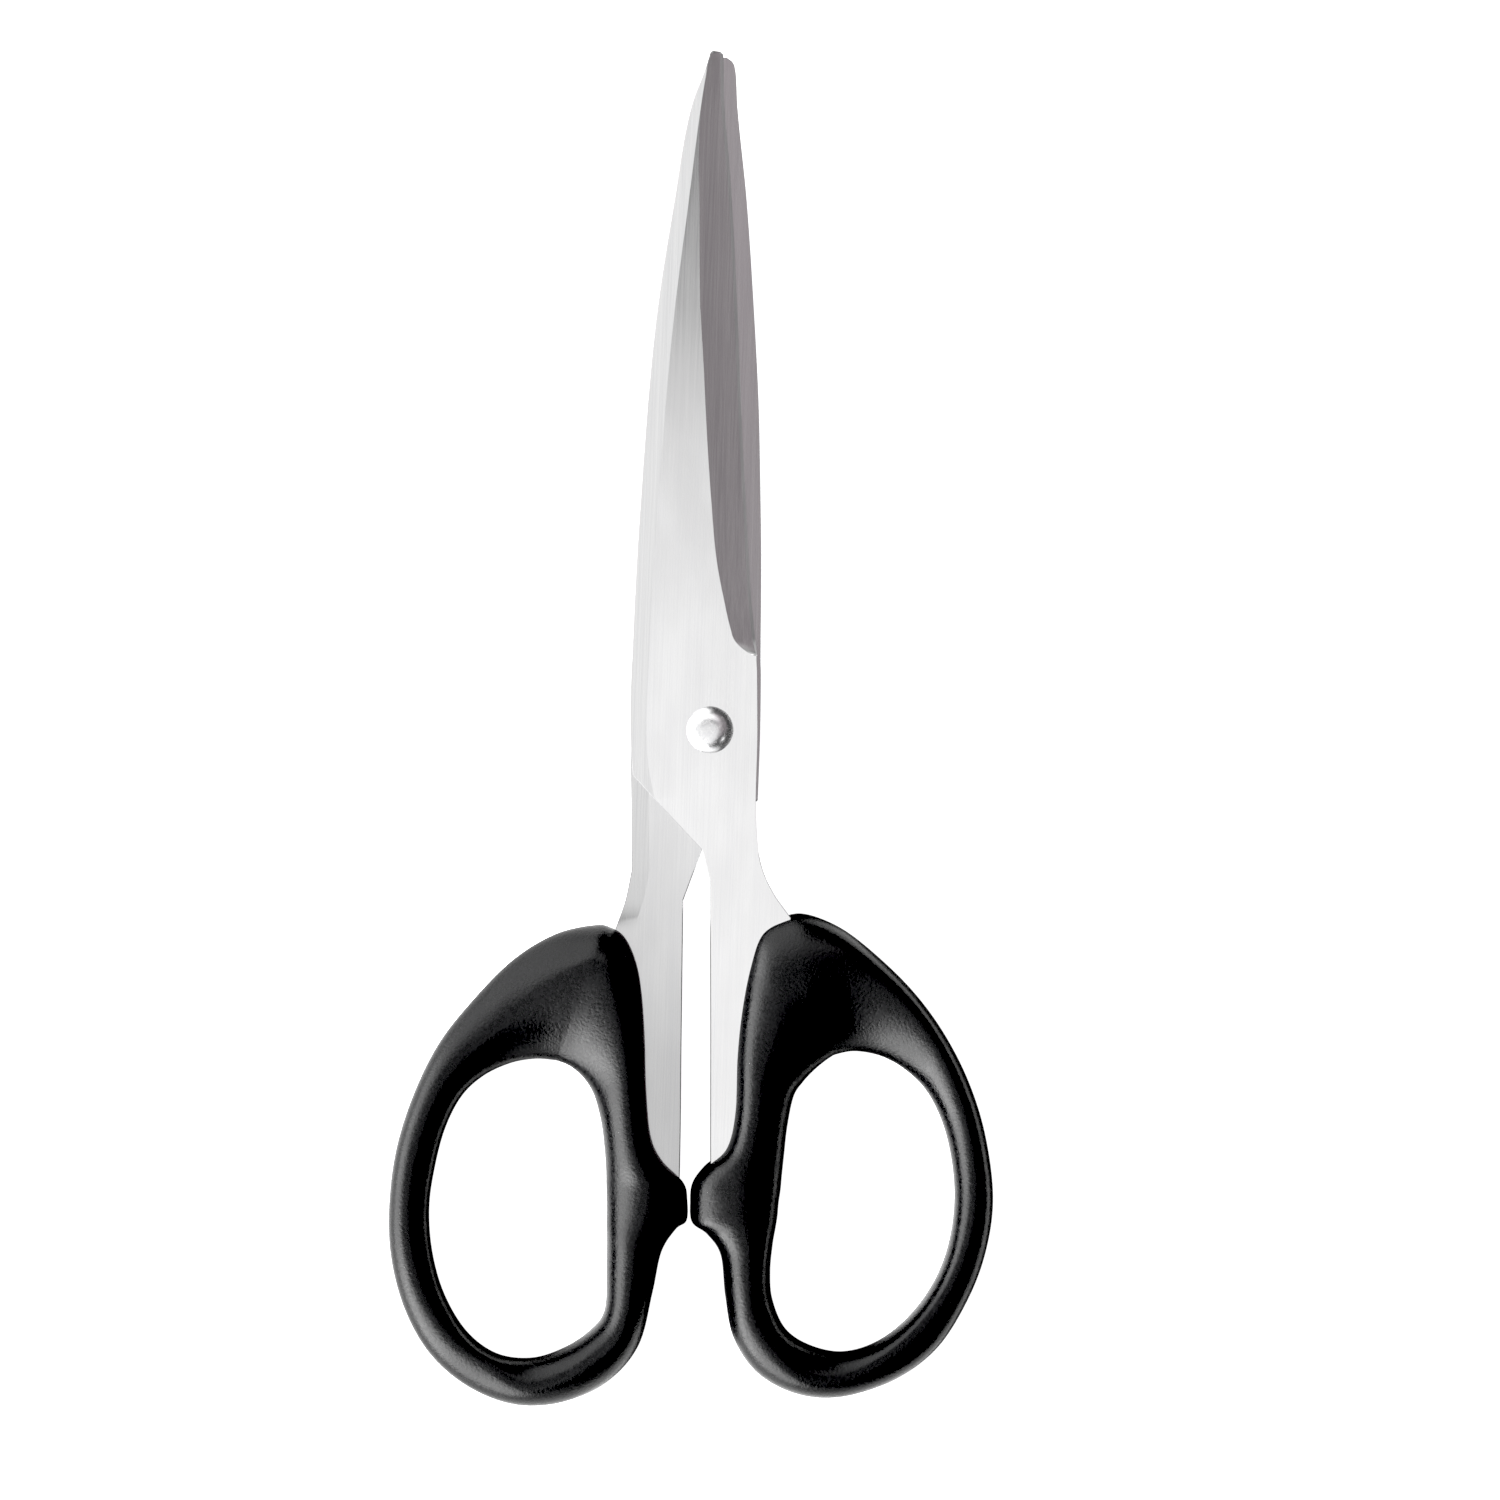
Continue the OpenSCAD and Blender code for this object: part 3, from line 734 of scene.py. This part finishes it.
def studio_world():
    """A soft sky of panels over a faint even light. The camera sees it as plain white."""
    world = bpy.data.worlds.new("studio")
    bpy.context.scene.world = world
    world.use_nodes = True
    n = Nodes(world.node_tree)
    direction = n.add("ShaderNodeTexCoord").outputs["Generated"]
    x, y, z = n.add("ShaderNodeSeparateXYZ", {"Vector": direction}).outputs
    rise = n.math("MAXIMUM", z, LEAST_RISE)
    axes = {"u": n.math("DIVIDE", x, rise), "v": n.math("DIVIDE", y, rise)}

    def panel(fades):
        return n.joined("MULTIPLY", [n.ramp(axes[axis], *fade) for axis, *fade in fades])

    right = panel(RIGHT_PANEL)
    panels = [panel(OVER_PANEL), panel(LEFT_PANEL), right, panel(TOP_PANEL), panel(FAINT_TOP_PANEL)]
    total = n.joined("ADD", panels + [soft_lamp(n, direction, *SPARK_LAMP), EVEN_LIGHT])
    green = n.math("SUBTRACT", total, n.math("MULTIPLY", right, LESS_GREEN))
    blue = n.math("SUBTRACT", total, n.math("MULTIPLY", right, LESS_BLUE))
    colour = n.add("ShaderNodeCombineColor", {0: total, 1: green, 2: blue}).outputs[0]
    lit = n.add("ShaderNodeBackground", {"Color": colour, "Strength": 1.0})
    seen = n.add("ShaderNodeBackground", {"Color": (SEEN_SKY, SEEN_SKY, SEEN_SKY, 1), "Strength": 1.0})
    direct = n.add("ShaderNodeLightPath").outputs["Is Camera Ray"]
    mixed = n.add("ShaderNodeMixShader", {0: direct, 1: lit.outputs[0], 2: seen.outputs[0]})
    n.add("ShaderNodeOutputWorld", {"Surface": mixed.outputs[0]})


def low_light(azimuth, elevation, strength):
    """A low lamp, not mirrored by the pieces: it lights the floor, and so their walls from below."""
    data = bpy.data.lights.new("low_light", "SUN")
    data.energy = strength
    data.angle = math.radians(12)
    made = bpy.data.objects.new("low_light", data)
    made.rotation_euler = (0, math.radians(90 - elevation), math.radians(azimuth))
    made.visible_glossy = False
    bpy.context.scene.collection.objects.link(made)


def camera(distance, across, aim, roll_degrees):
    """A camera straight above the aim, that sees the given width across at the plane between the blades."""
    data = bpy.data.cameras.new("camera")
    data.sensor_width = 36
    data.lens = data.sensor_width * distance / across
    data.clip_start = 0.01
    data.clip_end = 50
    made = bpy.data.objects.new("camera", data)
    made.location = (aim[0], aim[1], PLANE_Z * MM + distance)
    made.rotation_euler = (0, 0, math.radians(roll_degrees))
    bpy.context.scene.collection.objects.link(made)
    bpy.context.scene.camera = made


pale_floor(size=8)
studio_world()
linked_lamps("edge_lamps", radius=10, receivers=[left_grip, right_grip, rivet], lamps=EDGE_LAMPS)
linked_lamps("horizon_lamps", radius=12, receivers=[front, back], lamps=HORIZON_LAMPS)
low_light(azimuth=187, elevation=30, strength=35)
camera(distance=0.70, across=0.1994, aim=(0.0058, -0.0021), roll_degrees=2.0)

# A slightly hard print: everything under the black level goes to black.
BLACK_LEVEL = 0.036
view = bpy.context.scene.view_settings
view.view_transform = "Standard"
view.use_curve_mapping = True
view.curve_mapping.black_level = (BLACK_LEVEL,) * 3
view.curve_mapping.update()
